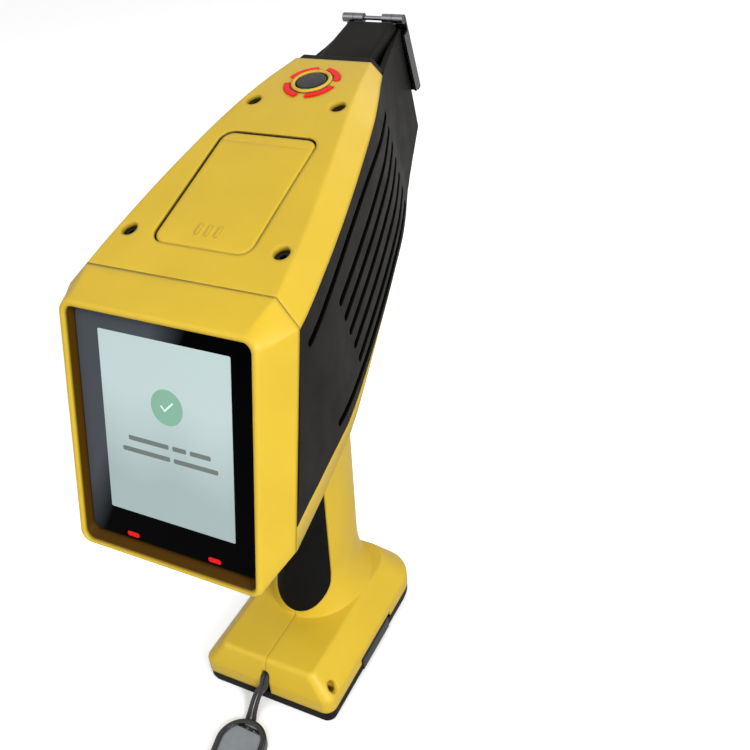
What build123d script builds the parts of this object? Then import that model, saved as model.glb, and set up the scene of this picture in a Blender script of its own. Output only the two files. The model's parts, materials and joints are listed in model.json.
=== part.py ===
from build123d import *
import math
import os

# Handheld X-ray fluorescence analyser, millimetres and degrees.
# Row frame: +X to the operator's right, +Y towards the measuring nose, +Z up,
# origin at the centre of the battery foot's underside.
# Three frames are used.  "Barrel" shapes are drawn with y along the tilted barrel and z out of
# its top, "grip" shapes with z up the leaning handle, and foot shapes in the row frame itself.

# ---------------------------------------------------------------- driving dimensions
BARREL_TILT = 19.7          # nose-up tilt of the barrel
BARREL_HEIGHT = 150.0       # height of the barrel frame's origin
SCREEN_LEAN = 34.34         # lean of the screen rim against the barrel's z axis
GRIP_LEAN = 4.5             # forward lean of the handle
GRIP_Y = 7.2                # where the handle's axis meets the ground plane
WALL = 2.5                  # moulded wall
GAP = 0.25                  # visible joint between neighbouring mouldings
CLEAR = 0.3                 # clearance between pieces that move apart
PIN_FIT = 0.05              # radial running clearance of pins
SIDE_DRAFT = 2.0            # how far the sides lean in between shoulder and foot

# Barrel section by station: forward position, half-width of the top, half-width at the shoulder,
# height of the top, shoulder, side foot, half-width of the floor, height of the floor.
STATIONS = [
    (-80.0, 38.6, 47.6, 81.7, 74.6, 7.5, 41.0, 3.0),
    (-45.0, 38.6, 47.4, 81.7, 74.6, 7.5, 41.0, 3.0),
    (-17.0, 37.9, 46.2, 81.7, 74.5, 7.5, 39.8, 3.0),
    (0.0, 36.2, 44.0, 81.7, 73.9, 8.5, 37.0, 3.0),
    (15.0, 34.2, 41.8, 81.7, 73.5, 10.0, 33.5, 3.0),
    (30.0, 31.8, 39.4, 81.7, 73.4, 11.0, 30.3, 3.2),
    (45.0, 29.0, 36.8, 81.6, 73.5, 11.5, 27.5, 3.6),
    (61.0, 25.9, 33.6, 81.2, 73.4, 11.5, 24.5, 4.0),
    (76.5, 22.6, 30.0, 80.2, 72.9, 10.5, 22.0, 4.2),
    (91.0, 19.6, 25.4, 78.3, 71.7, 9.0, 18.5, 4.2),
    (105.6, 16.7, 20.2, 75.5, 69.8, 8.2, 14.0, 4.2),
    (125.0, 12.6, 15.3, 73.6, 67.3, 9.8, 9.6, 6.4),
    (141.0, 9.6, 12.6, 73.0, 66.6, 14.4, 7.6, 11.4),
]
COVER_FRONT = 105.6         # front end of the top cover
NOSE_FRONT = 141.0          # flat front face of the nose
SEAM_TOP = -17.0            # top of the joint between top cover and rear bezel
CHIN_JOINT = 60.0           # joint between the handle shells and the nose housing
# lower edge of the black side panels, barrel (y, z)
PANEL_FOOT = [(-64.0, 15.4), (-38.0, 14.6), (-17.0, 12.4), (15.0, 11.5), (45.0, 11.8), (61.0, 11.7),
              (76.5, 10.7), (91.0, 9.2), (105.6, 8.4), (125.0, 10.0), (145.0, 15.6)]

# screen rim, drawn in its own plane: x across, y down from the rim's top edge
RIM_TOP = (-33.6, 81.7)     # top of the screen rim, barrel y and z
RIM_WIDTH, RIM_HEIGHT, RIM_CORNER = 79.0, 95.6, 5.0
RIM_LIP = 1.9               # width of the lip round the screen
HOOD_DEPTH = 4.2            # how far the glass sits below the rim
GLASS_WIDTH, GLASS_TOP, GLASS_FOOT, GLASS_THICK = 74.4, -1.0, -90.4, 1.2
LCD_WIDTH, LCD_TOP, LCD_FOOT = 53.8, -9.4, -77.9
LED_X, LED_Y, LED_SIZE = 17.9, -87.6, (5.4, 1.9)

# grooves of the side panels
GROOVE_WIDTH, GROOVE_DEPTH, GROOVE_PITCH = 3.3, 1.7, 8.0
GROOVE_REAR, GROOVE_FRONT = (6.0, 54.0), (95.0, 51.8)
GROOVE_COUNT = 5
UPPER_GROOVE = [(95.0, 59.0), (79.0, 61.2), (55.0, 64.4), (30.0, 65.4), (0.0, 64.6), (-19.5, 64.6)]
LOWER_GROOVE = [(94.0, 12.6), (76.5, 14.4), (45.0, 15.2), (15.0, 15.6), (-5.0, 17.0), (-21.0, 19.4)]

# port door in the top cover
DOOR_REAR, DOOR_FRONT, DOOR_HALF, DOOR_CORNER = -2.7, 53.9, 20.0, 5.0
DOOR_THICK, DOOR_ROUND = 2.0, 1.2
DOOR_TOP = 81.4
DOOR_PIN = (49.2, 80.0)     # hinge axis, barrel y and z
DOOR_PIN_RADIUS = 0.8
BAY_DEPTH = 15.0            # depth of the port bay under the door
LEDGE_FOOT = 77.0           # underside of the ledge round the door opening

# screws, power button and light ring in the top cover
COVER_SCREWS = [(31.0, 0.7), (18.2, 73.2)]
TOP_AT_SCREW = {0.7: 81.7, 73.2: 80.5}   # height of the cover's skin at each screw
SCREW_HOLE, SCREW_WELL, SCREW_HEAD = 3.1, 4.4, 2.85
RING_Y, RING_Z, RING_SLOPE = 87.6, 79.0, 8.6
BUTTON_RADIUS = 6.0
ARC_INNER, ARC_OUTER, ARC_COUNT, ARC_SPAN = 8.8, 11.0, 4, 66.0
BOARD_DEPTH = 7.2           # depth of the button's board under the ring plane

# nose
COLLAR_FRONT, COLLAR_DROP = 109.4, 0.7   # step ahead of the cover, and how far it lies under it
SNOUT_STATIONS = [(99.0, 12.8, 72.4), (114.7, 12.4, 71.1), (139.9, 11.5, 68.9)]
SNOUT_FILLET, SNOUT_FOOT = 2.6, 62.0
CHANNEL_FLOOR = 63.5        # floor of the channels beside the snout
WINDOW_Z, WINDOW_RADIUS = 49.0, 6.0
PLATE_PIN = (143.4, 68.4)   # hinge axis of the calibration plate, barrel y and z
PLATE_HALF, PLATE_FOOT, PLATE_THICK, PLATE_FLANGE = 14.0, 32.0, 1.0, 3.6
KNUCKLE_RADIUS, PLATE_PIN_RADIUS = 1.9, 0.9

# handle: height up the grip axis, half-width, half-depth, forward shift of the oval
GRIP_HALF, GRIP_LENGTH, GRIP_TOP = 17.0, 25.0, 172.0
# flare into the foot: height, half-width, half-length, forward shift
FLARE_STATIONS = [(17.0, 29.5, 32.0, 6.0), (24.0, 24.6, 29.4, 3.9), (31.0, 20.6, 27.0, 1.8),
                  (39.0, 18.0, 25.5, 0.5), (48.0, 17.0, 25.0, 0.0)]
BAY_HALF, BAY_LENGTH = 14.0, 22.0      # half-axes of the battery bay's oval
PAD_HALF, PAD_FOOT, PAD_THICK = 14.0, 27.6, 1.4

# foot of the handle and battery
FOOT_HALF, FOOT_REAR, FOOT_FRONT = 33.6, -47.0, 47.5
FOOT_JOINT, FOOT_SHOULDER, FOOT_TOP = 7.5, 14.5, 26.5
FOOT_TOP_HALF, FOOT_TOP_REAR, FOOT_TOP_FRONT = 24.0, -43.6, 39.0
LATCH_REAR, LATCH_FRONT, LATCH_LOW, LATCH_HIGH = -16.0, 12.0, 2.6, 10.0
SLOT_HALF, SLOT_TOP = 2.2, 20.6        # lanyard slot in the back of the foot
BAR_PLACE, BAR_RADIUS = (-45.2, 15.2), 0.9   # y, z and radius of the lanyard's bar

# trigger
TRIGGER_PIN = (20.6, 149.0)            # grip y and z of the trigger's pivot
TRIGGER_HALF = 6.5
TRIGGER_PIN_RADIUS = 1.2
FOOT_SCREWS = [(-39.2, 17.4, 1), (35.6, 18.5, -1)]   # y, z and head side of the foot's screws
FOOT_HEAD_X = 24.0                     # how far out the seats of those heads lie
CELL_CLEAR = 0.5                       # clearance of the battery stick in its bay
CELL_TOP = 106.0                       # top of the battery stick, grip z
DECK_FOOT, DECK_THICK = 24.0, 2.5      # deck of the inner frame, barrel z
BAY_FLOOR = LEDGE_FOOT - BAY_DEPTH     # floor and front wall of the port bay
BAY_FRONT = DOOR_FRONT + 2.6

# lanyard: route of the cord, and the fob on the table
CORD_RADIUS = 1.0
CORD_POINTS = [(-1.1, -43.25, 14.4), (-1.1, -43.25, 17.2), (-1.1, -46.6, 17.2), (-1.15, -48.35, 12.6),
               (-4.7, -48.6, 7.6), (-5.4, -51.0, 4.6), (-4.9, -56.0, 1.7), (-3.93, -59.61, 1.25),
               (-1.6, -69.69, 1.25), (1.61, -68.95, 1.25), (-0.72, -58.87, 1.25), (-2.6, -55.4, 1.7),
               (-3.2, -50.6, 4.6), (-2.5, -48.5, 7.6), (1.1, -48.35, 12.6), (1.1, -46.6, 17.2),
               (1.1, -43.25, 17.2), (1.1, -43.25, 14.4)]
CORD_RADII = [1.6, 1.8, 4.0, 3.0, 5.0, 6.0, 6.0, 1.6, 1.6, 6.0, 6.0, 5.0, 3.0, 4.0, 1.8, 1.6]
FOB_CENTRE, FOB_HALF, FOB_LENGTH = (2.4, -79.7), 11.6, 19.5
FOB_TURN = 13.0                        # turn of the fob on the table
FOB_THICK, FOB_RIM = 5.0, 2.6
FACE_LOW, FACE_HIGH = 0.9, 4.1         # underside and top of the fob's grey face
BOW_LOW, BOW_REACH = 2.4, 10.2         # the cord runs below this height, this far in under the rim
POST_DROP, POST_RADIUS = 7.2, 0.55     # the post that holds the cord's loop, from the fob's top

RAD = math.radians
BARREL = Location((0, 0, BARREL_HEIGHT), (BARREL_TILT, 0, 0))
GRIP = Location((0, GRIP_Y, 0), (-GRIP_LEAN, 0, 0))
RIM = Plane(origin=(0, *RIM_TOP), x_dir=(1, 0, 0),
            z_dir=(0, -math.cos(RAD(SCREEN_LEAN)), math.sin(RAD(SCREEN_LEAN))))
RING = Plane(origin=(0, RING_Y, RING_Z), x_dir=(1, 0, 0),
             z_dir=(0, math.sin(RAD(RING_SLOPE)), math.cos(RAD(RING_SLOPE))))


# ---------------------------------------------------------------- helpers
def outline(points):
    """A flat face from corner points."""
    return make_face(Polyline(*points, close=True))


def side_prism(points, half_width=70.0):
    """A prism right across the instrument from an outline of (y, z) points."""
    return extrude(Plane.YZ * outline(points), amount=half_width, both=True)


def block(x0, x1, y0, y1, z0, z1):
    """A box given by its limits."""
    centre = ((x0 + x1) / 2, (y0 + y1) / 2, (z0 + z1) / 2)
    return Pos(*centre) * Box(x1 - x0, y1 - y0, z1 - z0)


def oval(half_width, half_length):
    """A four-arc oval: tight arcs at the ends of its length, wide ones along its sides."""
    a, b = half_length, half_width
    k = math.hypot(a, b)
    offset = (k - (a - b)) / 2
    end_radius = offset * k / a
    side_radius = (k - offset) * k / b
    end_centre, side_centre = a - end_radius, side_radius - b
    reach = math.hypot(side_centre, end_centre)
    join = (end_radius * side_centre / reach, end_centre + end_radius * end_centre / reach)
    x, y = join
    arcs = [ThreePointArc((-x, y), (0, a), (x, y)), ThreePointArc((x, y), (b, 0), (x, -y)),
            ThreePointArc((x, -y), (0, -a), (-x, -y)), ThreePointArc((-x, -y), (-b, 0), (-x, y))]
    return make_face(arcs)


def rod(start, axis, radius, length):
    """A round bar from a start point along an axis."""
    return extrude(Plane(origin=start, z_dir=axis) * Circle(radius), amount=length)


def cross_rod(y, z, radius, half_length):
    """A round bar across the instrument, centred on x = 0."""
    return rod((-half_length, y, z), (1, 0, 0), radius, 2 * half_length)


def plate(plane, width, top, foot, corner, z_low, z_high):
    """A rounded plate in a plane, from a low to a high offset along its normal."""
    height = top - foot
    sheet = Pos(0, (top + foot) / 2, z_low) * RectangleRounded(width, height, corner)
    return plane * extrude(sheet, amount=z_high - z_low)


def seam_y(z, offset=0.0):
    """Forward position of the bezel joint, a plane parallel to the screen rim."""
    return SEAM_TOP + offset + (z - RIM_TOP[1]) * math.tan(RAD(SCREEN_LEAN))


def ahead_of_seam(offset=0.0, front=200.0):
    """Everything ahead of the bezel joint."""
    return side_prism([(seam_y(-40, offset), -40), (seam_y(120, offset), 120), (front, 120), (front, -40)])


def inset_points(points, inset):
    """Corner points of a convex outline moved inwards by a wall thickness."""
    moved = []
    count = len(points)
    for i, here in enumerate(points):
        before, after = points[i - 1], points[(i + 1) % count]
        a = Vector(here[0] - before[0], here[1] - before[1]).normalized()
        b = Vector(after[0] - here[0], after[1] - here[1]).normalized()
        normal_a, normal_b = Vector(a.Y, -a.X), Vector(b.Y, -b.X)
        bisector = (normal_a + normal_b).normalized()
        reach = inset / bisector.dot(normal_a)
        moved.append((here[0] + bisector.X * reach, here[1] + bisector.Y * reach))
    return moved


# ---------------------------------------------------------------- barrel form
def section_points(station):
    """Octagon of the barrel at one station, clockwise seen from behind."""
    _, top_half, side_half, top, shoulder, foot, floor_half, floor = station
    foot_half = side_half - SIDE_DRAFT
    right = [(top_half, top), (side_half, shoulder), (foot_half, foot), (floor_half, floor)]
    left = [(-x, z) for x, z in reversed(right)]
    return right + left


def refined_stations():
    """Extra stations on a smooth curve through the driving ones, ahead of the bezel."""
    rows = list(STATIONS[:3])
    for i in range(2, len(STATIONS) - 1):
        before, start, end = STATIONS[i - 1], STATIONS[i], STATIONS[i + 1]
        after = STATIONS[min(i + 2, len(STATIONS) - 1)]
        span = end[0] - start[0]
        middle = [start[0] + span / 2]
        for column in range(1, len(start)):
            slope_in = (end[column] - before[column]) / (end[0] - before[0])
            slope_out = (after[column] - start[column]) / (after[0] - start[0])
            mean = (start[column] + end[column]) / 2
            middle.append(mean + (slope_in - slope_out) * span / 8)
        rows += [tuple(middle), end]
    return rows


def barrel_core(inset=0.0):
    """The barrel's form, or its inside at a given depth below the surface."""
    faces = []
    for station in refined_stations():
        plane = Plane(origin=(0, station[0], 0), x_dir=(1, 0, 0), z_dir=(0, -1, 0))
        points = section_points(station)
        if inset:
            points = inset_points(points, inset)
        faces.append(plane * outline(points))
    return loft(faces, ruled=True)


def above_line(points, lift, ceiling, rear, front):
    """Prism above a smooth side line, between two forward positions."""
    line = [(y, z + lift) for y, z in points]
    curve = Spline(*line)
    start, end = line[0], line[-1]
    frame = Polyline(end, (end[0], ceiling), (start[0], ceiling), start)
    prism = extrude(Plane.YZ * make_face(curve + frame), amount=70, both=True)
    return prism & block(-70, 70, rear, front, -60, 160)


SHOULDER_LINE = [(s[0], s[4]) for s in STATIONS]
SHOULDER_DROP = 0.6         # the cover's edge hangs just below the shoulder


# ---------------------------------------------------------------- top cover, panels, bezel
def top_screw_wells(solid):
    """Screw wells of the top cover: a tube with a floor that the screw head sits on."""
    for x, y in COVER_SCREWS:
        for side in (-1, 1):
            top = 84.0
            floor = TOP_AT_SCREW[y] - SCREW_WELL
            boss = Pos(side * x, y, floor - 1.8) * extrude(Circle(SCREW_HOLE + 1.5), amount=SCREW_WELL + 0.6)
            well = Pos(side * x, y, floor) * extrude(Circle(SCREW_HOLE), amount=top - floor)
            hole = Pos(side * x, y, floor - 4) * extrude(Circle(1.6), amount=8)
            solid = solid + boss - well - hole
    return solid


def door_opening(extra, z_low, z_high):
    """Rounded opening of the port door, with its hinge end a little longer."""
    rear, front = DOOR_REAR - extra, DOOR_FRONT + extra + 0.2
    sheet = Pos(0, (rear + front) / 2, z_low) * RectangleRounded(
        2 * (DOOR_HALF + extra), front - rear, DOOR_CORNER + extra)
    return extrude(sheet, amount=z_high - z_low)


def top_cover(shell):
    """Moulded top cover with the port door opening, screw wells and the ring light's seat."""
    zone = above_line(SHOULDER_LINE, -SHOULDER_DROP, 100, -60, COVER_FRONT)
    cover = shell & zone & ahead_of_seam(GAP)
    cover = top_screw_wells(cover)
    cover = cover - door_opening(0.4, 70, 90)
    ledge = door_opening(4.5, LEDGE_FOOT, 79.3) - door_opening(-1.2, 70, 90) - door_opening(0.4, 79.05, 90)
    cover = cover + ledge
    cover = cover - cross_rod(*DOOR_PIN, DOOR_PIN_RADIUS, DOOR_HALF + 2.0)
    cover = cover - block(-DOOR_HALF - 0.4, DOOR_HALF + 0.4, DOOR_PIN[0] - 2.6, DOOR_FRONT + 0.6, 70, 79.4)
    seat = RING * (Pos(0, 0, -5.5) * extrude(Circle(ARC_OUTER + 1.2), amount=4.5))
    lip = RING * revolve(Plane.XZ * (Pos(BUTTON_RADIUS + 1.3, 0.1) * Circle(0.8)), axis=Axis.Z)
    cover = cover + (seat & barrel_core(1.0)) + lip
    for angle in range(0, 360, 90):
        place = Pos(ARC_OUTER - 0.8, 0, -BOARD_DEPTH)
        peg = Rot(0, 0, angle) * (place * extrude(Circle(1.3), amount=BOARD_DEPTH - 4.5))
        cover = cover + RING * peg
    cover = cover - RING * (Pos(0, 0, -9) * extrude(Circle(BUTTON_RADIUS + 0.25), amount=14))
    for i in range(ARC_COUNT):
        cover = cover - RING * light_arc(i, 0.05, -7, 4)
    return cover


def light_arc(index, extra, z_low, z_high):
    """One of the curved windows of the ring light."""
    start = 45 + index * 360 / ARC_COUNT - ARC_SPAN / 2 - extra
    inner, outer = ARC_INNER - extra, ARC_OUTER + extra
    profile = Pos((inner + outer) / 2, (z_low + z_high) / 2) * Rectangle(outer - inner, z_high - z_low)
    return Rot(0, 0, start) * revolve(Plane.XZ * profile, axis=Axis.Z, revolution_arc=ARC_SPAN + 2 * extra)


def groove(points, width):
    """Face of one groove in the side view: a stroke with round ends."""
    if len(points) == 2:
        line = Line(*points)
    else:
        line = Spline(*points)
    stroke = trace(line, line_width=width)
    ends = Sketch() + [Pos(*p) * Circle(width / 2) for p in (points[0], points[-1])]
    return stroke + ends


def side_panel(shell, side):
    """Black side panel with its fanned grooves."""
    zone = above_line(PANEL_FOOT, 0.0, 140, -70, NOSE_FRONT)
    top = above_line(SHOULDER_LINE, -SHOULDER_DROP - GAP, 140, -90, 150)
    half = block(0, 70, -90, 150, -20, 120) if side > 0 else block(-70, 0, -90, 150, -20, 120)
    panel = (shell & zone & ahead_of_seam(GAP) & half) - top - snout_solid(-0.3, 3.0)
    skin = half - barrel_core(GROOVE_DEPTH)
    drop = GROOVE_PITCH
    for i in range(GROOVE_COUNT):
        rear = (GROOVE_REAR[0], GROOVE_REAR[1] - i * drop)
        front = (GROOVE_FRONT[0], GROOVE_FRONT[1] - i * drop)
        cutter = extrude(Plane.YZ * groove([rear, front], GROOVE_WIDTH), amount=70, both=True)
        panel = panel - (cutter & skin)
    for line in (UPPER_GROOVE, LOWER_GROOVE):
        cutter = extrude(Plane.YZ * groove(line, GROOVE_WIDTH), amount=70, both=True)
        panel = panel - (cutter & skin)
    return panel


def seam_outline(inset=0.0):
    """Octagon of the barrel in the bezel joint plane, drawn in the rim's plane."""
    _, top_half, side_half, top, shoulder, foot, floor_half, floor = STATIONS[1]
    at_seam = [(37.9, top), (46.5, shoulder), (side_half - SIDE_DRAFT, foot), (floor_half, floor)]
    right = []
    for x, z in at_seam:
        y = seam_y(z)
        drop = (y - RIM_TOP[0]) * math.sin(RAD(SCREEN_LEAN)) + (z - RIM_TOP[1]) * math.cos(RAD(SCREEN_LEAN))
        right.append((x, drop))
    left = [(-x, t) for x, t in reversed(right)]
    points = right + left
    return inset_points(points, inset) if inset else points


SEAM_DEPTH = (SEAM_TOP - RIM_TOP[0]) * math.cos(RAD(SCREEN_LEAN))


def eight_sided(width, top, foot, corner):
    """Rounded rectangle as eight edges, ordered like the seam octagon."""
    x, r = width / 2, corner
    bow = r * (1 - math.sqrt(0.5))
    right_top = ThreePointArc((x - r, top), (x - bow, top - bow), (x, top - r))
    right_foot = ThreePointArc((x, foot + r), (x - bow, foot + bow), (x - r, foot))
    left_foot = ThreePointArc((-x + r, foot), (-x + bow, foot + bow), (-x, foot + r))
    left_top = ThreePointArc((-x, top - r), (-x + bow, top - bow), (-x + r, top))
    lines = [Line((x, top - r), (x, foot + r)), Line((x - r, foot), (-x + r, foot)),
             Line((-x, foot + r), (-x, top - r)), Line((-x + r, top), (x - r, top))]
    return make_face([right_top, lines[0], right_foot, lines[1], left_foot, lines[2], left_top, lines[3]])


def rear_bezel():
    """Bezel that flares from the screen rim to the barrel, with the hood round the glass."""
    rim = eight_sided(RIM_WIDTH, 0, -RIM_HEIGHT, RIM_CORNER)
    seam = Pos(0, 0, -SEAM_DEPTH) * outline(seam_outline())
    bezel = loft([rim, seam], ruled=True)
    rim_edges = [e for e in bezel.edges() if abs(e.center().Z) < 0.01]
    bezel = fillet(rim_edges, 1.3)
    lip = RIM_LIP
    mouth = eight_sided(RIM_WIDTH - 2 * lip + 0.3, -lip, -RIM_HEIGHT + lip - 0.4, RIM_CORNER - 1.5)
    mouth = Pos(0, 0, 0.5) * mouth
    throat = Pos(0, 0, -HOOD_DEPTH) * eight_sided(GLASS_WIDTH - 2, GLASS_TOP - 1, GLASS_FOOT + 1, 3.5)
    bezel = bezel - loft([mouth, throat], ruled=True)
    pocket = eight_sided(GLASS_WIDTH + 0.2, GLASS_TOP + 0.1, GLASS_FOOT - 0.1, 3.6)
    bezel = bezel - extrude(Pos(0, 0, -HOOD_DEPTH - GLASS_THICK) * pocket, amount=GLASS_THICK)
    cavity_rear = Pos(0, 0, -HOOD_DEPTH - GLASS_THICK) * eight_sided(
        GLASS_WIDTH - 0.6, GLASS_TOP - 0.3, GLASS_FOOT + 0.3, 3.4)
    cavity_front = Pos(0, 0, -SEAM_DEPTH) * outline(seam_outline(WALL))
    bezel = bezel - loft([cavity_rear, cavity_front], ruled=True)
    return RIM * bezel


# ---------------------------------------------------------------- screen
def screen_glass():
    """Black cover glass with two lamp windows."""
    glass = eight_sided(GLASS_WIDTH, GLASS_TOP, GLASS_FOOT, 3.5)
    solid = extrude(Pos(0, 0, -HOOD_DEPTH - GLASS_THICK) * glass, amount=GLASS_THICK)
    for side in (-1, 1):
        slot = Pos(side * LED_X, LED_Y, -HOOD_DEPTH - 2) * SlotOverall(*LED_SIZE)
        solid = solid - extrude(slot, amount=4)
    return RIM * solid


def status_leds():
    """Two red lamp windows flush with the glass."""
    lamps = []
    for side in (-1, 1):
        slot = Pos(side * LED_X, LED_Y, -HOOD_DEPTH - GLASS_THICK) * SlotOverall(*LED_SIZE)
        lamps.append(RIM * extrude(slot, amount=GLASS_THICK))
    return Compound(lamps)


def lcd_module():
    """Display module behind the glass."""
    low = -HOOD_DEPTH - GLASS_THICK - 3.4
    return plate(RIM, LCD_WIDTH + 5, LCD_TOP + 3, LCD_FOOT - 4, 1.0, low, low + 3.4)


def screen_gasket():
    """Foam seal between the glass and the display frame."""
    low = -HOOD_DEPTH - GLASS_THICK - 1.4
    outer = plate(RIM, GLASS_WIDTH - 2.0, GLASS_TOP - 1.0, GLASS_FOOT + 5.5, 3.0, low, low + 1.4)
    inner = plate(RIM, LCD_WIDTH + 5.6, LCD_TOP + 3.4, LCD_FOOT - 4.4, 1.2, low - 1, low + 3)
    return outer - inner


def main_board():
    """Main circuit board behind the display, with its larger components."""
    low = -HOOD_DEPTH - GLASS_THICK - 9.0
    board = plate(RIM, 62, -6, -80, 2.0, low, low + 1.6)
    for x, y, w, h, t in ((-14, -28, 16, 16, 2.0), (14, -30, 12, 20, 1.8), (-18, -58, 14, 10, 3.0),
                          (12, -62, 22, 6, 4.0)):
        board = board + RIM * (Pos(x, y, low - t / 2) * Box(w, h, t))
    return board


# ---------------------------------------------------------------- handle and foot
def grip_form(grow=0.0):
    """The handle's outer form in the grip frame, flaring out into the foot."""
    sections = []
    for height, half_width, half_length, shift in FLARE_STATIONS:
        sections.append(Pos(0, shift, height) * oval(half_width + grow, half_length + grow))
    top = FLARE_STATIONS[-1][0]
    column = extrude(Pos(0, 0, top) * oval(GRIP_HALF + grow, GRIP_LENGTH + grow), amount=GRIP_TOP - top)
    return loft(sections) + column


def foot_plan(half_width, rear, front, rear_corner, front_corner):
    """Plan outline of the foot: tight corners behind, wide ones in front."""
    face = outline([(-half_width, rear), (half_width, rear), (half_width, front), (-half_width, front)])
    face = fillet(face.vertices().group_by(Axis.Y)[0], rear_corner)
    return fillet(face.vertices().group_by(Axis.Y)[-1], front_corner)


def foot_form(inset=0.0):
    """The foot: an upright band below and a sloping roof above."""
    grow = -inset
    low = foot_plan(FOOT_HALF + grow, FOOT_REAR - grow, FOOT_FRONT + grow, 5.0 + grow, 16.0 + grow)
    high = foot_plan(FOOT_TOP_HALF + grow, FOOT_TOP_REAR - grow, FOOT_TOP_FRONT + grow, 4.0, 12.0)
    band = extrude(Pos(0, 0, FOOT_JOINT) * low, amount=FOOT_SHOULDER - FOOT_JOINT)
    roof = loft([Pos(0, 0, FOOT_SHOULDER) * low, Pos(0, 0, FOOT_TOP - inset) * high], ruled=True)
    return band + roof


def soften_foot(solid):
    """Round the foot's shoulder and roof edges."""
    roof = [e for e in solid.edges() if abs(e.center().Z - FOOT_TOP) < 0.01 and e.length > 4]
    solid = fillet(roof, 3.0)
    shoulder = [e for e in solid.edges() if abs(e.center().Z - FOOT_SHOULDER) < 0.01 and e.length > 4]
    return fillet(shoulder, 3.0)


def pad_zone(extra):
    """U-shaped zone of the rubber pad on the back of the handle, drawn looking forward."""
    half = PAD_HALF + extra
    centre = PAD_FOOT + PAD_HALF
    sheet = Pos(0, centre) * Circle(half) + Pos(0, centre + 70) * Rectangle(2 * half, 140)
    zone = extrude(Plane.XZ * sheet, amount=70)
    return zone


def handle_form(body_outer, body_inner):
    """Handle, foot and lower barrel as one hollow moulding, before it is split."""
    lower = body_outer - above_line(PANEL_FOOT, -GAP, 140, -90, 150)
    lower = (lower & ahead_of_seam(GAP)) - block(-70, 70, CHIN_JOINT, 200, -60, 160)
    outside = GRIP * grip_form() + soften_foot(foot_form())
    outside = outside + BARREL * lower
    bay = GRIP * extrude(Pos(0, 0, -4) * oval(BAY_HALF, BAY_LENGTH), amount=180)
    hollow = BARREL * body_inner + bay + foot_form(WALL) + foot_plinth_space()
    return outside - hollow


def foot_plinth_space():
    """Opening in the underside of the foot for the battery's plinth."""
    return extrude(Pos(0, 0, FOOT_JOINT - 1) * foot_plan(
        FOOT_HALF - WALL, FOOT_REAR + WALL, FOOT_FRONT - WALL, 3.0, 13.5), amount=4)


def pad_recess():
    """Recess that the rubber pad is moulded into."""
    lid = BARREL * side_prism([(-120, 2.85), (120, 2.85), (120, 200), (-120, 200)])
    return GRIP * (pad_zone(0.25) - grip_form(-PAD_THICK)) - lid


def rubber_grip(handle_outside):
    """Rubber pad on the back of the handle, flush with the moulding."""
    lid = BARREL * side_prism([(-120, 2.6), (120, 2.6), (120, 200), (-120, 200)])
    return (handle_outside & GRIP * pad_zone(0.0)) - GRIP * grip_form(-PAD_THICK) - lid


def lanyard_slot():
    """Keyhole slot through the back of the foot, open at its lower edge."""
    centre = SLOT_TOP - SLOT_HALF
    sheet = Pos(0, centre) * Circle(SLOT_HALF) + Pos(0, centre / 2) * Rectangle(2 * SLOT_HALF, centre)
    return Pos(0, FOOT_REAR + 5, 0) * extrude(Plane.XZ * sheet, amount=16)


def trigger_window():
    """Window in the front of the handle that the trigger stands in."""
    z = TRIGGER_PIN[1]
    half = TRIGGER_HALF + 0.6
    return GRIP * block(-half, half, 10, 40, z - 32.5, z + 4.0)


def foot_bosses(outside):
    """Bosses across the foot for the two screws, with wells for their heads."""
    for y, z, _ in FOOT_SCREWS:
        boss = cross_rod(y, z, 2.8, 60) & foot_form(0.3)
        outside = outside + boss
    for y, z, side in FOOT_SCREWS:
        well = rod((side * FOOT_HEAD_X, y, z), (side, 0, 0), 2.6, 40)
        outside = outside - well - rod((-side * 12, y, z), (side, 0, 0), 1.2, 40)
    return outside


def lanyard_bar():
    """Steel bar across the slot that the lanyard loops round, set in the foot's wall."""
    return cross_rod(*BAR_PLACE, BAR_RADIUS, SLOT_HALF + 4.0)


def bar_bosses():
    """Thicker wall at each side of the slot, which holds the bar's ends."""
    y, z = BAR_PLACE
    boss = cross_rod(y + 0.4, z, 1.9, SLOT_HALF + 4.6) & foot_form(0.3)
    return boss


def handle_shells(form):
    """Left and right halves of the yellow moulding, parted on the centre plane."""
    form = form - pad_recess()
    form = foot_bosses(form) + bar_bosses()
    form = form - lanyard_slot() - trigger_window() - lanyard_bar()
    form = form - block(-60, 60, LATCH_REAR - 0.8, LATCH_FRONT + 2.6, 0, LATCH_HIGH + 0.4)
    form = form - GRIP * cross_rod(*TRIGGER_PIN, TRIGGER_PIN_RADIUS, 8.0)
    right = form & block(0, 80, -120, 160, -5, 260)
    left = form & block(-80, 0, -120, 160, -5, 260)
    return left, right


def bay_slice(y0, y1, z0, z1):
    """A slab that fills the battery bay from wall to wall, in the grip frame."""
    column = extrude(Pos(0, 0, z0) * oval(BAY_HALF, BAY_LENGTH), amount=z1 - z0)
    return column & block(-30, 30, y0, y1, z0, z1)


# ---------------------------------------------------------------- nose
def snout_solid(inset=0.0, stretch=0.0):
    """The raised block along the top of the nose."""
    faces = []
    last = len(SNOUT_STATIONS) - 1
    for i, (y, half, top) in enumerate(SNOUT_STATIONS):
        shift = -stretch if i == 0 else stretch if i == last else 0.0
        plane = Plane(origin=(0, y + shift, 0), x_dir=(1, 0, 0), z_dir=(0, -1, 0))
        half, top = half - inset, top - inset
        face = outline([(-half, SNOUT_FOOT), (-half, top), (half, top), (half, SNOUT_FOOT)])
        corners = face.vertices().group_by(Axis.Y)[-1]
        faces.append(plane * fillet(corners, SNOUT_FILLET - inset * 0.6))
    return loft(faces, ruled=True)


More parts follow.
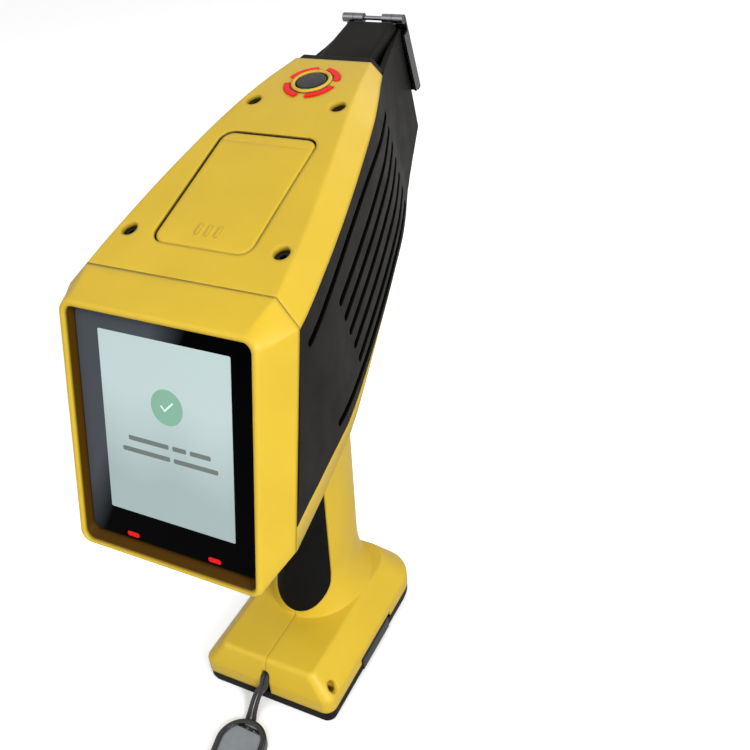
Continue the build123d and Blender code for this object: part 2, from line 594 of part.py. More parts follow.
def nose_housing(body_outer, body_inner):
    """Black nose: chin, front wall with the window aperture, and the snout."""
    inside = barrel_core(WALL + 0.15)
    panels = above_line(PANEL_FOOT, -GAP, 140, -90, 160)
    lower = (body_outer - panels) & block(-70, 70, CHIN_JOINT + GAP, NOSE_FRONT, -20, 60)
    core = inside & block(-60, 60, 98, NOSE_FRONT, -20, CHANNEL_FLOOR)
    collar = inside & block(-60, 60, 100, COLLAR_FRONT, 58, 90)
    step = barrel_core(COLLAR_DROP) & above_line(
        SHOULDER_LINE, -SHOULDER_DROP, 100, COVER_FRONT + GAP, COLLAR_FRONT)
    snout = snout_solid() & block(-60, 60, 99, NOSE_FRONT - 1.1, 50, 90)
    hollow = body_inner & block(-60, 60, 50, 98.1, -20, 62)
    hollow = hollow + (barrel_core(2 * WALL) & block(-60, 60, 90, NOSE_FRONT - WALL, -20, CHANNEL_FLOOR - 2))
    hollow = hollow + (snout_solid(2.0, 6.0) & block(-60, 60, 90, NOSE_FRONT - WALL - 1, 50, 90))
    housing = lower + core + collar + step + snout - hollow
    housing = housing - RING * (Pos(0, 0, -10) * extrude(Circle(ARC_OUTER + 1.7), amount=14))
    aperture = rod((0, NOSE_FRONT - 8, WINDOW_Z), (0, 1, 0), WINDOW_RADIUS, 16)
    recess = rod((0, NOSE_FRONT - 1.0, WINDOW_Z), (0, 1, 0), WINDOW_RADIUS + 2.5, 4)
    return housing - aperture - recess


def window_frame():
    """Ring that clamps the thin window in the nose's front wall."""
    ring = rod((0, NOSE_FRONT - 0.85, WINDOW_Z), (0, 1, 0), WINDOW_RADIUS + 2.4, 0.85)
    return ring - rod((0, NOSE_FRONT - 2, WINDOW_Z), (0, 1, 0), WINDOW_RADIUS - 1.0, 4)


def window_film():
    """Thin window behind its ring."""
    return rod((0, NOSE_FRONT - 1.0, WINDOW_Z), (0, 1, 0), WINDOW_RADIUS + 2.2, 0.15)


def hinge_bracket():
    """Steel bracket on the snout's front edge, with an eye at each side of the centre."""
    y, z = PLATE_PIN
    back = NOSE_FRONT - 1.1
    bracket = block(-8.8, 8.8, back, back + 0.8, CHANNEL_FLOOR, z - 1.4)
    for start in (-8.8, 4.4):
        arm = block(start, start + 4.4, back, y, z - KNUCKLE_RADIUS, z - PLATE_PIN_RADIUS)
        eye = rod((start, y, z), (1, 0, 0), KNUCKLE_RADIUS, 4.4)
        bracket = bracket + arm + eye
    return bracket - cross_rod(y, z, PLATE_PIN_RADIUS, 20)


def plate_hinge_pin():
    """Pin of the calibration plate's hinge."""
    return cross_rod(*PLATE_PIN, PLATE_PIN_RADIUS, PLATE_HALF - 0.1)


def calibration_plate():
    """Folded steel plate that covers the window, with two rolled knuckles."""
    y, z = PLATE_PIN
    back = y + KNUCKLE_RADIUS - PLATE_THICK
    face = y + KNUCKLE_RADIUS
    sheet = block(-PLATE_HALF, PLATE_HALF, back, face, PLATE_FOOT, z)
    sheet = fillet(sheet.edges().filter_by(Axis.Y).group_by(Axis.Z)[0], 2.5)
    for side in (-1, 1):
        low, high = sorted((side * PLATE_HALF, side * (PLATE_HALF - 0.9)))
        flange = block(low, high, back - PLATE_FLANGE, back + 0.2, PLATE_FOOT + 2.5, z - 6)
        start = 9.0 if side > 0 else -PLATE_HALF
        knuckle = rod((start, y, z), (1, 0, 0), KNUCKLE_RADIUS, PLATE_HALF - 9.0)
        sheet = sheet + flange + knuckle
    sheet = sheet - block(-9.0, 9.0, back - 1, face + 1, z - 3.2, z + 2)
    return sheet - cross_rod(y, z, PLATE_PIN_RADIUS + PIN_FIT, 20)


# ---------------------------------------------------------------- port door and bay
def port_door():
    """Flap over the ports, with three raised bars and a hinge barrel under its front end."""
    length = DOOR_FRONT - DOOR_REAR
    sheet = Pos(0, (DOOR_REAR + DOOR_FRONT) / 2, DOOR_TOP - DOOR_THICK) * RectangleRounded(
        2 * DOOR_HALF, length, DOOR_CORNER)
    door = extrude(sheet, amount=DOOR_THICK)
    door = fillet(door.edges().group_by(Axis.Z)[-1], DOOR_ROUND)
    door = door + cross_rod(*DOOR_PIN, 1.4, DOOR_HALF - 5)
    for i in (-1, 0, 1):
        bar = extrude(SlotOverall(5.0, 1.4, rotation=90), amount=0.7)
        door = door + Pos(i * 4.0, DOOR_REAR + 8.0, DOOR_TOP - 0.3) * bar
    return door - cross_rod(*DOOR_PIN, DOOR_PIN_RADIUS + PIN_FIT, 60)


def door_hinge_pin():
    """Pin of the port door's hinge."""
    return cross_rod(*DOOR_PIN, DOOR_PIN_RADIUS, DOOR_HALF + 1.8)


def port_bay():
    """Moulded tray under the port door."""
    rear = DOOR_REAR + 1.0
    half = DOOR_HALF - 1.0
    outer = block(-half - 1.6, half + 1.6, rear - 1.6, BAY_FRONT + 1.6, BAY_FLOOR - 1.6, LEDGE_FOOT)
    outer = fillet(outer.edges().filter_by(Axis.Z), 4.0)
    inner = block(-half, half, rear, BAY_FRONT, BAY_FLOOR, LEDGE_FOOT + 1)
    inner = fillet(inner.edges().filter_by(Axis.Z), 2.4)
    tray = outer - inner
    tray = tray - block(-10.5, -1.5, BAY_FRONT - 1, BAY_FRONT + 4, BAY_FLOOR + 3.6, BAY_FLOOR + 6.8)
    return tray - block(4.2, 16.4, BAY_FRONT - 1, BAY_FRONT + 4, BAY_FLOOR + 4.0, BAY_FLOOR + 6.4)


def usb_socket():
    """Metal shell of the data socket in the bay's front wall."""
    plane = Plane(origin=(-6.0, BAY_FRONT, BAY_FLOOR + 5.2), x_dir=(-1, 0, 0), z_dir=(0, 1, 0))
    rim = RectangleRounded(9.0, 3.2, 1.5)
    shell = extrude(rim - RectangleRounded(8.2, 2.4, 1.1), amount=7.4)
    back = Pos(0, 0, 6.4) * extrude(rim, amount=1.0)
    tongue = extrude(Rectangle(6.4, 0.7), amount=7.0)
    return plane * (shell + back + tongue)


def card_slot():
    """Memory card socket in the bay's front wall."""
    body = block(4.2, 16.4, BAY_FRONT, BAY_FRONT + 12.0, BAY_FLOOR + 4.0, BAY_FLOOR + 6.4)
    return body - block(4.9, 15.7, BAY_FRONT - 1, BAY_FRONT + 10.0, BAY_FLOOR + 4.7, BAY_FLOOR + 5.8)


# ---------------------------------------------------------------- power button and ring light
def power_button():
    """Round push button inside the ring light."""
    cap = extrude(Circle(BUTTON_RADIUS), amount=4.6)
    cap = fillet(cap.edges().group_by(Axis.Z)[-1], 0.8)
    stem = Pos(0, 0, -1.6) * extrude(Circle(2.4), amount=1.8)
    return RING * (Pos(0, 0, -4.0) * (cap + stem))


def light_ring():
    """Four translucent windows of the ring light."""
    return Compound([RING * light_arc(i, 0.0, -3.2, 0.15) for i in range(ARC_COUNT)])


def ring_board():
    """Small round board that carries the button's switch and the ring's lamps."""
    disc = Pos(0, 0, -BOARD_DEPTH - 1.4) * extrude(Circle(ARC_OUTER + 1.0), amount=1.4)
    switch = Pos(0, 0, -BOARD_DEPTH) * extrude(Rectangle(4, 4), amount=0.25)
    return RING * (disc + switch)


def button_spring():
    """Return spring of the power button."""
    return RING * (Pos(0, 0, -BOARD_DEPTH) * extrude(Circle(3.9) - Circle(3.1), amount=BOARD_DEPTH - 4.0))


def cover_screws():
    """Four cap screws at the bottoms of the cover's wells."""
    screws = []
    for x, y in COVER_SCREWS:
        for side in (-1, 1):
            floor = TOP_AT_SCREW[y] - SCREW_WELL
            cap = Circle(SCREW_HEAD)
            head = extrude(cap - RegularPolygon(1.4, 6), amount=2.2) + extrude(cap, amount=0.6)
            neck = Pos(0, 0, -9) * extrude(Circle(1.5), amount=9.3)
            screws.append(Pos(side * x, y, floor) * (head + neck))
    return Compound(screws)


# ---------------------------------------------------------------- inner parts
def chassis_frame():
    """Aluminium deck inside the barrel, with a post under each cover screw."""
    deck = outline([(-30, -12), (30, -12), (17, 92), (-17, 92)])
    frame = extrude(Pos(0, 0, DECK_FOOT) * deck, amount=DECK_THICK)
    for x, y in COVER_SCREWS:
        for side in (-1, 1):
            top = TOP_AT_SCREW[y] - SCREW_WELL - 1.8
            foot = Pos(side * x, y, DECK_FOOT) * extrude(Circle(4.0), amount=DECK_THICK)
            post = Pos(side * x, y, DECK_FOOT + 1) * extrude(Circle(3.2), amount=top - DECK_FOOT - 1)
            pilot = Pos(side * x, y, top - 8) * extrude(Circle(1.5), amount=9)
            frame = frame + foot + post - pilot
    for x0, x1 in ((-26, -21), (21, 26)):
        frame = frame + block(x0, x1, -8, 4, 3.0 + WALL, DECK_FOOT + 1)
    return frame


def hv_supply():
    """Potted high-voltage supply on the deck."""
    box = block(-20, 20, -2, 46, DECK_FOOT + DECK_THICK, 52)
    return fillet(box.edges().filter_by(Axis.Z), 3.0)


def xray_tube():
    """Miniature X-ray tube with a stepped end towards the window."""
    y, z = 50.0, 52.0
    can = rod((0, y, z), (0, 1, 0), 7.4, 52)
    neck = rod((0, y + 52, z), (0, 1, 0), 4.6, 14)
    collar = rod((0, y + 10, z), (0, 1, 0), 8.2, 5)
    saddle = block(-6, 6, y + 12, y + 34, DECK_FOOT + DECK_THICK, z - 4)
    return can + neck + collar + saddle


def detector():
    """Silicon drift detector in its can, below the tube."""
    stud = rod((0, 92, 36.0), (0, 1, 0), 3.0, 12)
    can = rod((0, 104, 36.0), (0, 1, 0), 6.2, 18)
    snout = rod((0, 122, 36.0), (0, 1, 0), 4.4, 6)
    shelf = block(-5, 5, 86, 104, DECK_FOOT + DECK_THICK, 34)
    return can + stud + snout + shelf


# ---------------------------------------------------------------- trigger
def trigger():
    """Curved trigger lever that pivots on a pin at its top."""
    y, z = TRIGGER_PIN
    crown = Polyline((y - 3, z + 3), (y + 3, z + 3), (y + 8.4, z - 2), (y + 9.6, z - 12))
    front = ThreePointArc((y + 9.6, z - 12), (y + 8.2, z - 20), (y + 10.6, z - 30))
    back = Polyline((y + 10.6, z - 30), (y + 6.0, z - 30.5), (y + 3.4, z - 20), (y + 2.6, z - 6),
                    (y - 3, z - 3), (y - 3, z + 3))
    lever = extrude(Plane.YZ * make_face(crown + front + back), amount=TRIGGER_HALF, both=True)
    lever = lever - cross_rod(y, z, TRIGGER_PIN_RADIUS + PIN_FIT, 20)
    return GRIP * lever


def trigger_pin():
    """Pivot pin of the trigger."""
    return GRIP * cross_rod(*TRIGGER_PIN, TRIGGER_PIN_RADIUS, 8.0)


def trigger_switch():
    """Microswitch behind the trigger, on a bridge across the handle."""
    y, z = TRIGGER_PIN
    body = block(-3.2, 3.2, y - 7.2, y - 1.4, z - 21, z - 9)
    plunger = block(-1.5, 1.5, y - 1.5, y - 0.5, z - 18, z - 16)
    bridge = bay_slice(y - 9.6, y - 7.2, z - 29, z - 7)
    return GRIP * (body + plunger + bridge)


def trigger_spring():
    """Return spring between the handle and the trigger."""
    y, z = TRIGGER_PIN
    plane = Plane(origin=(0, y - 7.2, z - 25.5), z_dir=(0, 1, 0))
    return GRIP * (plane * extrude(Circle(2.2) - Circle(1.5), amount=11.2))


# ---------------------------------------------------------------- battery
def cell_column(z_low, z_high):
    """Column of the battery stick between two heights of the grip frame."""
    plan = oval(BAY_HALF - CELL_CLEAR, BAY_LENGTH - CELL_CLEAR)
    return GRIP * extrude(Pos(0, 0, z_low) * plan, amount=z_high - z_low)


def battery_stick():
    """Sealed cell housing that fills the handle."""
    return cell_column(2.0, CELL_TOP) - block(-80, 80, -80, 80, -20, FOOT_JOINT - CLEAR)


def battery_contacts():
    """Four plated contacts on top of the stick."""
    return Compound([GRIP * block(x - 1.2, x + 1.2, -6, 4, CELL_TOP, CELL_TOP + 0.5)
                     for x in (-7.5, -2.5, 2.5, 7.5)])


def battery_foot():
    """Black foot of the battery pack, the face that the instrument stands on."""
    top = FOOT_JOINT - CLEAR
    plan = foot_plan(FOOT_HALF - 0.2, FOOT_REAR + 0.2, FOOT_FRONT - 0.2, 5.0, 16.0)
    low = foot_plan(FOOT_HALF - 1.0, FOOT_REAR + 1.0, FOOT_FRONT - 1.0, 4.2, 15.2)
    lower = extrude(low, amount=3.4)
    lower = chamfer(lower.edges().group_by(Axis.Z)[0], 0.8)
    rise = foot_plan(FOOT_HALF - WALL - 0.8, FOOT_REAR + WALL + 5.0, FOOT_FRONT - WALL - 0.8, 3.0, 12.5)
    plinth = extrude(Pos(0, 0, top) * rise, amount=4.6) - cell_column(-6, 60)
    foot = extrude(Pos(0, 0, 3.2) * plan, amount=top - 3.2) + lower + plinth
    for side in (-1, 1):
        low_x, high_x = sorted((side * 60, side * (FOOT_HALF - 8.6)))
        foot = foot - block(low_x, high_x, LATCH_REAR - 0.4, LATCH_FRONT + 0.4, LATCH_LOW - 0.3, 30)
    return foot


def latch_button(side):
    """Side button that frees the battery."""
    low, high = sorted((side * (FOOT_HALF + 0.5), side * (FOOT_HALF - 6.0)))
    button = block(low, high, LATCH_REAR, LATCH_FRONT, LATCH_LOW, LATCH_HIGH)
    face_edges = button.faces().sort_by(Axis.X)[-1 if side > 0 else 0].edges()
    return fillet(face_edges, 0.9)


def latch_spring(side):
    """Coil spring behind a latch button."""
    start = side * (FOOT_HALF - 8.6)
    return Plane(origin=(start, -2, 5.6), z_dir=(side, 0, 0)) * extrude(Circle(1.9) - Circle(1.3), amount=2.6)


def terminal_block():
    """Spring contacts at the top of the battery bay."""
    z = CELL_TOP + 2.4
    body = bay_slice(-8, 6, z, z + 5) + block(-10, 10, -7, 5, z - 0.4, z + 1)
    for x in (-7.5, -2.5, 2.5, 7.5):
        body = body + block(x - 0.9, x + 0.9, -4, 2, CELL_TOP + 0.8, z)
    return GRIP * body


def handle_screws():
    """Two screws that close the foot of the moulding."""
    screws = []
    for y, z, side in FOOT_SCREWS:
        outward = (side, 0, 0)
        head = rod((side * FOOT_HEAD_X, y, z), outward, 2.3, 1.8)
        socket = rod((side * (FOOT_HEAD_X + 0.6), y, z), outward, 1.1, 3)
        neck = rod((-side * 11, y, z), outward, 1.2, FOOT_HEAD_X + 11.2)
        screws.append(head - socket + neck)
    return Compound(screws)


# ---------------------------------------------------------------- lanyard
def fob_place():
    """Where the fob lies on the table."""
    return Location((FOB_CENTRE[0], FOB_CENTRE[1], 0), (0, 0, FOB_TURN))


def fob_plan(inset=0.0):
    """Plan of the fob, straight sides with round ends."""
    return SlotOverall(2 * (FOB_LENGTH - inset), 2 * (FOB_HALF - inset), rotation=90)


def cord_way():
    """Recess under the fob's upper end that the cord runs in."""
    return block(-4.0, 4.0, FOB_LENGTH - BOW_REACH, FOB_LENGTH + 1, -1, BOW_LOW)


def fob_rim():
    """Rim of the lanyard's fob, softened above and open below for the cord."""
    rim = extrude(fob_plan(), amount=FOB_THICK)
    rim = fillet(rim.edges().group_by(Axis.Z)[-1], 1.2)
    inner = Pos(0, 0, -1) * extrude(fob_plan(FOB_RIM), amount=9)
    return fob_place() * (rim - inner - cord_way())


def fob_face():
    """Grey face inside the rim, with a slit and the post that holds the cord's loop."""
    face = Pos(0, 0, FACE_LOW) * extrude(fob_plan(FOB_RIM), amount=FACE_HIGH - FACE_LOW)
    slit = Pos(2.0, FOB_LENGTH - 4.6, 0) * Rot(0, 0, -16) * extrude(SlotOverall(13.0, 2.0), amount=9)
    post = Pos(0, FOB_LENGTH - POST_DROP, 0.3) * extrude(Circle(POST_RADIUS), amount=BOW_LOW)
    return fob_place() * (face - slit - cord_way() + post)


def lanyard_cord():
    """Thin cord over the bar in the foot, down to the fob, round its post and back to the bar."""
    path = FilletPolyline(*CORD_POINTS, radius=CORD_RADII, close=False)
    return sweep(Plane(origin=path @ 0, z_dir=path % 0) * Circle(CORD_RADIUS), path=path)


# ---------------------------------------------------------------- build
def save(name, shape):
    """Write one node of the part."""
    export_step(shape, f"parts/{name}.step")


def main():
    os.makedirs("parts", exist_ok=True)
    body_outer = barrel_core()
    body_inner = barrel_core(WALL)
    shell = body_outer - body_inner
    outside = GRIP * grip_form() + soften_foot(foot_form())
    left_handle, right_handle = handle_shells(handle_form(body_outer, body_inner))
    right_panel = side_panel(shell, 1)
    in_barrel = {
        "top_cover": top_cover(shell),
        "rear_bezel": rear_bezel(),
        "side_panel_right": right_panel,
        "side_panel_left": mirror(right_panel, about=Plane.YZ),
        "nose_housing": nose_housing(body_outer, body_inner),
        "window_frame": window_frame(),
        "window_film": window_film(),
        "hinge_bracket": hinge_bracket(),
        "plate_hinge_pin": plate_hinge_pin(),
        "calibration_plate": calibration_plate(),
        "screen_glass": screen_glass(),
        "status_leds": status_leds(),
        "lcd_module": lcd_module(),
        "screen_gasket": screen_gasket(),
        "main_board": main_board(),
        "light_ring": light_ring(),
        "ring_board": ring_board(),
        "power_button": power_button(),
        "button_spring": button_spring(),
        "port_door": port_door(),
        "door_hinge_pin": door_hinge_pin(),
        "port_bay": port_bay(),
        "usb_socket": usb_socket(),
        "card_slot": card_slot(),
        "cover_screws": cover_screws(),
        "chassis_frame": chassis_frame(),
        "hv_supply": hv_supply(),
        "xray_tube": xray_tube(),
        "detector": detector(),
    }
    for name, shape in in_barrel.items():
        save(name, BARREL * shape)
    in_row = {
        "handle_shell_left": left_handle,
        "handle_shell_right": right_handle,
        "rubber_grip": rubber_grip(outside),
        "handle_screws": handle_screws(),
        "trigger": trigger(),
        "trigger_pin": trigger_pin(),
        "trigger_spring": trigger_spring(),
        "trigger_switch": trigger_switch(),
        "battery_stick": battery_stick(),
        "battery_foot": battery_foot(),
        "battery_contacts": battery_contacts(),
        "latch_button_left": latch_button(-1),
        "latch_button_right": latch_button(1),
        "latch_spring_left": latch_spring(-1),
        "latch_spring_right": latch_spring(1),
        "terminal_block": terminal_block(),
        "lanyard_bar": lanyard_bar(),
        "lanyard_cord": lanyard_cord(),
        "fob_rim": fob_rim(),
        "fob_face": fob_face(),
    }
    for name, shape in in_row.items():
        save(name, shape)


if __name__ == "__main__":
    main()
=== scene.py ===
import json
import math

import bpy
from mathutils import Matrix, Vector


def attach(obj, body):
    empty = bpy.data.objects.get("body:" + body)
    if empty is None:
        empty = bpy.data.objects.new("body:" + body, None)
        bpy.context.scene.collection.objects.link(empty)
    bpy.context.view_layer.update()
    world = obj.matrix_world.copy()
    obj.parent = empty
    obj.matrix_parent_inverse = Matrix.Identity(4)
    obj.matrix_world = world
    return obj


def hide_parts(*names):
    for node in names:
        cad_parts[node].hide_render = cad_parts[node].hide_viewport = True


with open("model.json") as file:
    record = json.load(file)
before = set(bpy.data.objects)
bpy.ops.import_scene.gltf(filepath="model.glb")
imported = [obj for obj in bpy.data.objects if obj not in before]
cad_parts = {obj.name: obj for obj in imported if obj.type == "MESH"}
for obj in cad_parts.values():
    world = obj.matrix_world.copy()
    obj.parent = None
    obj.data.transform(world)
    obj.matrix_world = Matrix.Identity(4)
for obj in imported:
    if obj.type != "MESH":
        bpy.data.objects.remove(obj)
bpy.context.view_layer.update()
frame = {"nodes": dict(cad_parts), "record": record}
nodes = frame["nodes"]

# ---------------------------------------------------------------- sizes, in millimetres and radians
MM = 0.001                              # metres
BARREL_TILT = math.radians(19.7)
BARREL_HEIGHT = 150.0
GLASS_CENTRE = 170.0                    # height of the middle of the screen
SCREEN_LEAN = math.radians(34.34)
RIM_TOP = (-33.6, 81.7)                 # top of the screen rim, barrel y and z
HOOD_DEPTH = 4.2
LCD_WIDTH, LCD_TOP, LCD_FOOT = 53.8, -9.4, -77.9

BARREL = Matrix.Translation((0, 0, BARREL_HEIGHT)) @ Matrix.Rotation(BARREL_TILT, 4, "X")
SCREEN = BARREL @ Matrix.Translation((0, *RIM_TOP)) @ Matrix.Rotation(math.pi / 2 - SCREEN_LEAN, 4, "X")

# ---------------------------------------------------------------- camera
CAMERA_PLACE = (0.1837, -0.2485, 0.3631)
CAMERA_TURN = math.radians(29.37)       # to the operator's right of the rear view
CAMERA_PITCH = math.radians(35.24)      # below the horizon
CAMERA_ROLL = math.radians(-5.77)
CAMERA_LENS, CAMERA_SHIFT = 44.298, (0.00627, 0.00661)


def add_camera():
    """Camera behind the instrument, above it and to the operator's right."""
    turn, pitch, roll = CAMERA_TURN, CAMERA_PITCH, CAMERA_ROLL
    ahead = Vector((-math.sin(turn) * math.cos(pitch), math.cos(turn) * math.cos(pitch), -math.sin(pitch)))
    across = Vector((math.cos(turn), math.sin(turn), 0))
    upward = across.cross(ahead)
    right = math.cos(roll) * across + math.sin(roll) * upward
    top = -math.sin(roll) * across + math.cos(roll) * upward
    camera = bpy.data.objects.new("camera", bpy.data.cameras.new("camera"))
    turned = Matrix((right, top, -ahead)).transposed().to_4x4()
    camera.matrix_world = Matrix.Translation(CAMERA_PLACE) @ turned
    camera.data.lens = CAMERA_LENS
    camera.data.shift_x, camera.data.shift_y = CAMERA_SHIFT
    camera.data.clip_start = 0.01
    bpy.context.collection.objects.link(camera)
    bpy.context.scene.camera = camera


# ---------------------------------------------------------------- materials
class Shader:
    """A principled material built up node by node."""

    def __init__(self, name):
        self.material = bpy.data.materials.new(name)
        self.material.use_nodes = True
        self.tree = self.material.node_tree
        self.main = self.tree.nodes["Principled BSDF"]
        self.place = self.tree.nodes.new("ShaderNodeTexCoord").outputs["Object"]

    def node(self, kind, **values):
        made = self.tree.nodes.new("ShaderNode" + kind)
        for name, value in values.items():
            made.inputs[name.replace("_", " ")].default_value = value
        return made

    def link(self, output, target):
        self.tree.links.new(output, target)

    def set(self, **values):
        for name, value in values.items():
            self.main.inputs[name.replace("_", " ")].default_value = value

    def noise(self, scale, detail=2.0, stretch=None):
        """Noise at a scale per metre, stretched along an axis if asked."""
        made = self.node("TexNoise", Scale=scale, Detail=detail)
        source = self.place
        if stretch:
            mapping = self.node("Mapping", Scale=stretch)
            self.link(source, mapping.inputs["Vector"])
            source = mapping.outputs["Vector"]
        self.link(source, made.inputs["Vector"])
        return made.outputs["Fac"]

    def spread(self, source, low, high, start=0.3, end=0.7):
        """A value mapped to a range."""
        made = self.node("MapRange")
        for slot_name, value in (("From Min", start), ("From Max", end), ("To Min", low), ("To Max", high)):
            made.inputs[slot_name].default_value = value
        self.link(source, made.inputs["Value"])
        return made.outputs["Result"]

    def maths(self, operation, first, second=0.0):
        """The result of an operation on one or two values."""
        made = self.tree.nodes.new("ShaderNodeMath")
        made.operation = operation
        for socket, value in zip(made.inputs, (first, second)):
            if isinstance(value, float):
                socket.default_value = value
            else:
                self.link(value, socket)
        return made.outputs["Value"]

    def along(self, axis, start):
        """Distance along an axis in metres, from a start given in millimetres."""
        made = self.tree.nodes.new("ShaderNodeVectorMath")
        made.operation = "DOT_PRODUCT"
        made.inputs[1].default_value = tuple(axis)
        self.link(self.place, made.inputs[0])
        return self.maths("SUBTRACT", made.outputs["Value"], float(start * MM))

    def colours(self, source, dark, light, crevice=0.0):
        """The base colour, between two tones, with painted shade darkening hollows narrower than a size in
        metres.
        """
        ramp = self.node("ValToRGB")
        ramp.color_ramp.elements[0].position = 0.3
        ramp.color_ramp.elements[1].position = 0.7
        ramp.color_ramp.elements[0].color = (*dark, 1)
        ramp.color_ramp.elements[1].color = (*light, 1)
        self.link(source, ramp.inputs["Fac"])
        colour = ramp.outputs["Color"]
        # painted shade: ambient occlusion darkens the colour in hollows
        if crevice:
            hollow = self.node("AmbientOcclusion", Distance=crevice)
            hollow.samples = 12
            shade = self.node("MixRGB", Fac=1.0)
            shade.blend_type = "MULTIPLY"
            self.link(colour, shade.inputs["Color1"])
            self.link(self.spread(hollow.outputs["AO"], 0.02, 1.0, 0.35, 0.80), shade.inputs["Color2"])
            colour = shade.outputs["Color"]
        self.link(colour, self.main.inputs["Base Color"])

    def relief(self, source, depth, edge=0.0):
        """Fine relief of a depth in metres, over edges rounded by a radius in metres."""
        bump = self.node("Bump", Strength=1.0, Distance=depth)
        self.link(source, bump.inputs["Height"])
        if edge:
            rounding = self.node("Bevel", Radius=edge)
            rounding.samples = 6
            self.link(rounding.outputs["Normal"], bump.inputs["Normal"])
        self.link(bump.outputs["Normal"], self.main.inputs["Normal"])


def toned(colour, factor):
    """A colour made lighter or darker."""
    return tuple(min(1.0, c * factor) for c in colour)


def mould_shader(name, colour, rough, grain=2600, depth=0.000012, edge=0.0006, tone=0.05, specular=0.5,
                 crevice=0.0):
    """Moulded plastic with a fine grain, slight tone changes, rounded edges and, if a crevice reach is
    given, painted shade in its hollows.
    """
    shader = Shader(name)
    shader.colours(shader.noise(30, 3), toned(colour, 1 - tone), toned(colour, 1 + tone), crevice)
    gloss = shader.spread(shader.noise(90, 4), rough - 0.05, rough + 0.05)
    shader.link(gloss, shader.main.inputs["Roughness"])
    shader.relief(shader.noise(grain, 2), depth, edge)
    shader.set(Specular_IOR_Level=specular)
    return shader


def moulded(*values, **options):
    """The material of a moulded plastic."""
    return mould_shader(*values, **options).material


def rubber(name, colour):
    """Matt rubber with a fine pebble relief."""
    shader = Shader(name)
    shader.colours(shader.noise(60, 3), toned(colour, 0.9), toned(colour, 1.15))
    shader.set(Specular_IOR_Level=0.03)
    pebble = shader.node("TexVoronoi", Scale=900.0)
    shader.link(shader.place, pebble.inputs["Vector"])
    shader.relief(pebble.outputs["Distance"], 0.00006, 0.0005)
    shader.link(shader.spread(shader.noise(200, 2), 0.62, 0.78), shader.main.inputs["Roughness"])
    return shader.material


def metal(name, colour, rough, stretch=(1, 1, 1), scale=900, edge=0.0002):
    """Bare metal with a brushed or machined surface."""
    shader = Shader(name)
    shader.set(Metallic=1.0)
    streaks = shader.noise(scale, 3, stretch)
    shader.colours(streaks, toned(colour, 0.9), toned(colour, 1.08))
    shader.link(shader.spread(streaks, rough - 0.07, rough + 0.1), shader.main.inputs["Roughness"])
    shader.relief(streaks, 0.000006, edge)
    return shader.material


def lamp(name, colour, strength):
    """A lit red lens, a little uneven in its light."""
    shader = Shader(name)
    shader.colours(shader.noise(400, 2), toned(colour, 0.3), toned(colour, 0.4))
    shader.set(Roughness=0.25, Specular_IOR_Level=0.1, Emission_Color=(*colour, 1))
    shader.link(shader.spread(shader.noise(700, 2), strength * 0.85, strength * 1.15),
                shader.main.inputs["Emission Strength"])
    return shader.material


PAINTED_SHEEN_WIDTH, PAINTED_SHEEN_LEAN = 34.0, 0.5     # how far the painted sheen fades, and its slant


def black_glass(name):
    """Cover glass, black behind, with a painted reflection: a paler sheen in its colour towards the left
    edge.
    """
    shader = Shader(name)
    across = shader.along((1, 0, 0), 0)
    lean = shader.maths("MULTIPLY", shader.along((0, 0, 1), GLASS_CENTRE), -PAINTED_SHEEN_LEAN)
    left = shader.spread(shader.maths("ADD", across, lean), 1.0, 0.0, -PAINTED_SHEEN_WIDTH * MM, 0.0)
    # painted reflection: the colour pales towards the left edge
    shader.colours(left, (0.0006, 0.0006, 0.0007), (0.060, 0.068, 0.080))
    shader.link(shader.spread(shader.noise(15, 2), 0.04, 0.09), shader.main.inputs["Roughness"])
    shader.set(Specular_IOR_Level=0.015)
    return shader.material


LIT_REACH = 34.0                        # the display's dimming, above and below its middle


def lit_panel(name, dark, light, strength, rough=0.22, bands=0.0):
    """A part of the lit display, uneven as its backlight is; a banded one also dims downwards."""
    shader = Shader(name)
    cloud = shader.noise(18, 2)
    if bands:
        wave = shader.node("TexWave", Scale=9.0, Distortion=1.5)
        shader.link(shader.place, wave.inputs["Vector"])
        blend = shader.node("Mix", Factor=bands * 4)
        shader.link(cloud, blend.inputs["A"])
        shader.link(wave.outputs["Fac"], blend.inputs["B"])
        reach = LIT_REACH * MM
        height = shader.spread(shader.along((0, 0, 1), GLASS_CENTRE), 0.0, 0.75, -reach, reach)
        cloud = shader.maths("ADD", shader.maths("MULTIPLY", blend.outputs["Result"], 0.25), height)
    shader.colours(cloud, dark, light)
    shader.set(Roughness=rough, Emission_Color=(*light, 1))
    glow = shader.spread(cloud, strength * 0.92, strength * 1.05)
    shader.link(glow, shader.main.inputs["Emission Strength"])
    return shader.material


def braid(name, colour):
    """Woven cord: two crossing waves."""
    shader = Shader(name)
    shader.colours(shader.noise(500, 3), toned(colour, 0.7), toned(colour, 1.6))
    weave = shader.node("TexVoronoi", Scale=2400.0)
    shader.link(shader.place, weave.inputs["Vector"])
    shader.relief(weave.outputs["Distance"], 0.00012)
    shader.set(Sheen_Weight=0.15)
    shader.link(shader.spread(shader.noise(800, 2), 0.6, 0.8), shader.main.inputs["Roughness"])
    return shader.material


